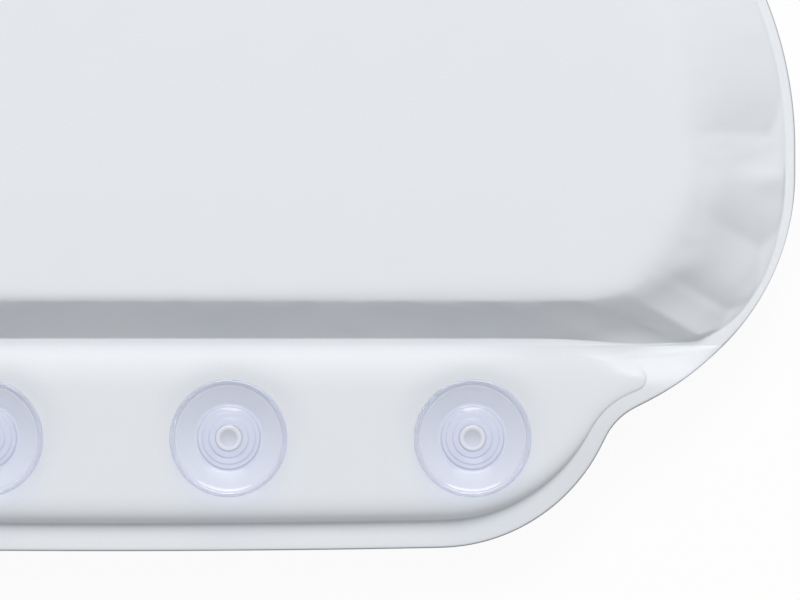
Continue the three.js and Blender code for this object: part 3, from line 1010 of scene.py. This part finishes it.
washer_low, washer_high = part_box("cup_washer_1")
washer_thickness = (washer_high.z - washer_low.z) / MM
washer_pattern = turned(
    "washer_pattern",
    [
        (WASHER_BORE, 0),
        (WASHER_RADIUS, 0),
        (WASHER_RADIUS, washer_thickness),
        (WASHER_BORE, washer_thickness),
        (WASHER_BORE, 0),
    ],
    ROUND_SEGMENTS,
)
face_outwards(washer_pattern, AXIS_MERGE)
round_edges(washer_pattern, WASHER_ROUNDING, steps=3)
washer_pattern.data.materials.append(hard)
for number, place in enumerate(cup_places, 1):
    spot = np.array((*place, 0)) * MM + hinge
    washer = copy_to(washer_pattern, f"washer_ring_{number}", (spot[0], spot[1], washer_low.z))
    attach(washer, f"washer_{number}")
    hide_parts(f"cup_washer_{number}")
bpy.data.objects.remove(washer_pattern)

# Suction cups. Clear soft vinyl with a faint blue-violet tint, moulded in one: a thin bowl on a shoulder,
# and a neck with a snap head that is pushed through the back sheet and its washer.
CUP_RADIUS = 19.8
CUP_HEIGHT = 8.6
LIP_OUTSIDE = ((19.8, 8.2), (19.7, 8.6), (19.1, 8.6))
LIP_INSIDE = ((18.6, 8.6), (18, 8.6), (18, 7.3))
CONE_TOP = ((17.6, 7.2), (17.2, 7.1), (16.8, 6.8))
CONE_FOOT = ((12.2, 3.75), (11.7, 3.4), (11.3, 3.4))
BOSS = ((10.8, 3.45), (10.3, 4.9), (9.1, 5), (8.7, 5.6), (6.9, 5.7), (6.4, 6.4), (4.6, 6.5))
NUB = ((4.1, 6.9), (3.4, 6.95), (2.6, 6.7))
NUB_DISH = 6.65
CORE_RADIUS = 4.5
CORE_CLEARNESS = 0.15
DISH_RADIUS = 2.7
DISH_MILKINESS = 0.5
SKIRT_EDGE = 1
SHOULDER_RADIUS = 9
SHOULDER_HEIGHT = 1
NECK_RADIUS = 4
NECK_LENGTH = 4.9
HEAD_RADIUS = 7
HEAD_HEIGHT = 3.2
HEAD_FLAT = 0.45
HEAD_BAND = 1
AXIS = 0.02
CUP_SEGMENTS = 96
CUP_ROUNDING = 0.3


def curve(start, bend, end, steps):
    """Points along a quadratic curve, with both its ends."""
    share = np.linspace(0, 1, steps + 1)[:, None]
    start, bend, end = np.array(start), np.array(bend), np.array(end)
    return (start * (1 - share) ** 2 + bend * 2 * share * (1 - share) + end * share**2).tolist()


skirt_top = CUP_HEIGHT - SKIRT_EDGE
head_foot = -NECK_LENGTH - HEAD_HEIGHT
cup_profile = [
    (AXIS, head_foot),
    *curve(
        (HEAD_RADIUS * HEAD_FLAT, head_foot),
        (HEAD_RADIUS, head_foot),
        (HEAD_RADIUS, -NECK_LENGTH - HEAD_BAND),
        steps=6,
    ),
    (HEAD_RADIUS, -NECK_LENGTH),
    (NECK_RADIUS, -NECK_LENGTH),
    (NECK_RADIUS, 0),
    (SHOULDER_RADIUS, 0),
    *curve(
        (SHOULDER_RADIUS, SHOULDER_HEIGHT),
        ((SHOULDER_RADIUS + 2 * CUP_RADIUS) / 3, 2 * SHOULDER_HEIGHT),
        (CUP_RADIUS, skirt_top),
        steps=14,
    ),
    *curve(*LIP_OUTSIDE, steps=3),
    *curve(*LIP_INSIDE, steps=3),
    *curve(*CONE_TOP, steps=3),
    *curve(*CONE_FOOT, steps=3),
    *BOSS,
    *NUB,
    (AXIS, NUB_DISH),
]
CUP_TINT = (0.855, 0.87, 0.93)
CUP_CLEARNESS = 0.6
CUP_ABSORBS = (0.75, 0.78, 0.935)
CUP_DENSITY = 70
CUP_SHADOW = (0.94, 0.95, 0.975)
clear, clear_tree, clear_shader = new_material("clear_vinyl")
clear_shader.inputs["Base Color"].default_value = (*CUP_TINT, 1)
clear_shader.inputs["Transmission Weight"].default_value = CUP_CLEARNESS
core = clear_tree.nodes.new("ShaderNodeAttribute")
core.attribute_name = "core"
clearness = clear_tree.nodes.new("ShaderNodeMapRange")
clearness.inputs["To Min"].default_value = CUP_CLEARNESS
clearness.inputs["To Max"].default_value = CORE_CLEARNESS
clear_tree.links.new(core.outputs["Fac"], clearness.inputs["Value"])
clear_tree.links.new(clearness.outputs["Result"], clear_shader.inputs["Transmission Weight"])
clear_shader.inputs["IOR"].default_value = 1.42
clear_shader.inputs["Roughness"].default_value = 0.04
add_bump(clear_tree, clear_shader, noise(clear_tree, 220, detail=3), strength=0.08, distance=0.0006)
lets_light_in = clear_tree.nodes.new("ShaderNodeBsdfTransparent")
lets_light_in.inputs["Color"].default_value = (*CUP_SHADOW, 1)
light_path = clear_tree.nodes.new("ShaderNodeLightPath")
by_ray = clear_tree.nodes.new("ShaderNodeMixShader")
clear_output = clear_tree.nodes["Material Output"]
passes = clear_tree.nodes.new("ShaderNodeMath")
passes.operation = "MAXIMUM"
clear_tree.links.new(light_path.outputs["Is Shadow Ray"], passes.inputs[0])
clear_tree.links.new(light_path.outputs["Is Diffuse Ray"], passes.inputs[1])
clear_tree.links.new(passes.outputs["Value"], by_ray.inputs[0])
clear_tree.links.new(clear_shader.outputs["BSDF"], by_ray.inputs[1])
clear_tree.links.new(lets_light_in.outputs["BSDF"], by_ray.inputs[2])
clear_tree.links.new(by_ray.outputs["Shader"], clear_output.inputs["Surface"])
absorbs = clear_tree.nodes.new("ShaderNodeVolumeAbsorption")
absorbs.inputs["Color"].default_value = (*CUP_ABSORBS, 1)
absorbs.inputs["Density"].default_value = CUP_DENSITY
clear_tree.links.new(absorbs.outputs["Volume"], clear_output.inputs["Volume"])

cup_pattern = turned("cup_pattern", cup_profile, CUP_SEGMENTS)
face_outwards(cup_pattern, AXIS_MERGE)
round_edges(cup_pattern, CUP_ROUNDING, steps=3)
cup_pattern.data.materials.append(clear)
from_axis = [math.hypot(point.co.x, point.co.y) / MM for point in cup_pattern.data.vertices]
milky = np.where(np.less(from_axis, DISH_RADIUS), DISH_MILKINESS, np.less(from_axis, CORE_RADIUS))
cup_pattern.data.attributes.new("core", "FLOAT", "POINT").data.foreach_set("value", milky)
cup_low, cup_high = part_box(CUP_NAMES[0])
for number, place in enumerate(cup_places, 1):
    spot = np.array((*place, 0)) * MM + hinge
    shoulder = cup_high.z - CUP_HEIGHT * MM
    cup = copy_to(cup_pattern, f"clear_cup_{number}", (spot[0], spot[1], shoulder))
    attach(cup, f"cup_{number}")
    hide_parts(CUP_NAMES[number - 1])
bpy.data.objects.remove(cup_pattern)

# Studio. A plain pale floor, a wide soft light from beyond the pad's top, an even pale sky, and the
# camera straight above the right half of the hinge.
FLOOR_HALF = 8
FLOOR_LIFT = 0.94
KEY_HEIGHT_DEG = 54
KEY_SIDE_DEG = 1
KEY_DISTANCE = 6
KEY_SIZE = 4
KEY_WATTS = 283
SKY = 0.38
SKY_COLOUR = (0.93, 0.957, 1)
CAMERA_HEIGHT = 1.5
PHOTO_MIDDLE = (98.6, 15.4)
PHOTO_SPAN = 272

floor_stuff, floor_tree, floor_shader = new_material("pale_floor")
floor_shader.inputs["Base Color"].default_value = (0.85, 0.85, 0.85, 1)
floor_shader.inputs["Roughness"].default_value = 0.9
floor_shader.inputs["Specular IOR Level"].default_value = 0
glow = floor_tree.nodes.new("ShaderNodeEmission")
glow.inputs["Color"].default_value = (1, 1, 1, 1)
floor_mix = floor_tree.nodes.new("ShaderNodeMixShader")
floor_path = floor_tree.nodes.new("ShaderNodeLightPath")
floor_share = floor_tree.nodes.new("ShaderNodeMath")
floor_share.operation = "MULTIPLY"
floor_share.inputs[1].default_value = FLOOR_LIFT
floor_tree.links.new(floor_path.outputs["Is Camera Ray"], floor_share.inputs[0])
floor_tree.links.new(floor_share.outputs["Value"], floor_mix.inputs[0])
floor_tree.links.new(floor_shader.outputs["BSDF"], floor_mix.inputs[1])
floor_tree.links.new(glow.outputs["Emission"], floor_mix.inputs[2])
floor_tree.links.new(floor_mix.outputs["Shader"], floor_tree.nodes["Material Output"].inputs["Surface"])
bpy.ops.object.select_all(action="DESELECT")
bpy.ops.mesh.primitive_plane_add(size=2 * FLOOR_HALF)
floor = bpy.context.object
floor.name = "floor"
floor.data.materials.append(floor_stuff)

sky = bpy.data.worlds.new("pale_sky")
bpy.context.scene.world = sky
sky.use_nodes = True
sky_tree = sky.node_tree
sky_light = sky_tree.nodes["Background"]
sky_light.inputs["Color"].default_value = (*SKY_COLOUR, 1)
sky_light.inputs["Strength"].default_value = SKY
seen_sky = sky_tree.nodes.new("ShaderNodeBackground")
seen_sky.inputs["Color"].default_value = (1, 1, 1, 1)
seen_sky.inputs["Strength"].default_value = 1
sky_path = sky_tree.nodes.new("ShaderNodeLightPath")
seen_or_glossy = sky_tree.nodes.new("ShaderNodeMath")
seen_or_glossy.operation = "MAXIMUM"
seen_or_clear = sky_tree.nodes.new("ShaderNodeMath")
seen_or_clear.operation = "MAXIMUM"
sky_mix = sky_tree.nodes.new("ShaderNodeMixShader")
sky_tree.links.new(sky_path.outputs["Is Camera Ray"], seen_or_glossy.inputs[0])
sky_tree.links.new(sky_path.outputs["Is Glossy Ray"], seen_or_glossy.inputs[1])
sky_tree.links.new(seen_or_glossy.outputs["Value"], seen_or_clear.inputs[0])
sky_tree.links.new(sky_path.outputs["Is Transmission Ray"], seen_or_clear.inputs[1])
sky_tree.links.new(seen_or_clear.outputs["Value"], sky_mix.inputs[0])
sky_tree.links.new(sky_light.outputs["Background"], sky_mix.inputs[1])
sky_tree.links.new(seen_sky.outputs["Background"], sky_mix.inputs[2])
sky_tree.links.new(sky_mix.outputs["Shader"], sky_tree.nodes["World Output"].inputs["Surface"])

key_up = math.radians(KEY_HEIGHT_DEG)
key_side = math.radians(KEY_SIDE_DEG)
middle = hinge + np.array((*PHOTO_MIDDLE, 0)) * MM
level = math.cos(key_up)
towards_key = np.array((math.sin(key_side) * level, math.cos(key_side) * level, math.sin(key_up)))
bpy.ops.object.light_add(type="AREA", location=tuple(middle + KEY_DISTANCE * towards_key))
key = bpy.context.object
key.name = "soft_key"
key.data.shape = "DISK"
key.data.size = KEY_SIZE
key.data.energy = KEY_WATTS
key.rotation_euler = (key_up - math.pi / 2, 0, -key_side)
key.rotation_mode = "XYZ"

bpy.ops.object.camera_add(location=tuple(middle + np.array((0, 0, CAMERA_HEIGHT))), rotation=(0, 0, 0))
camera = bpy.context.object
camera.data.lens = camera.data.sensor_width * CAMERA_HEIGHT / (PHOTO_SPAN * MM)
bpy.context.scene.camera = camera
bpy.context.scene.view_settings.view_transform = "Standard"
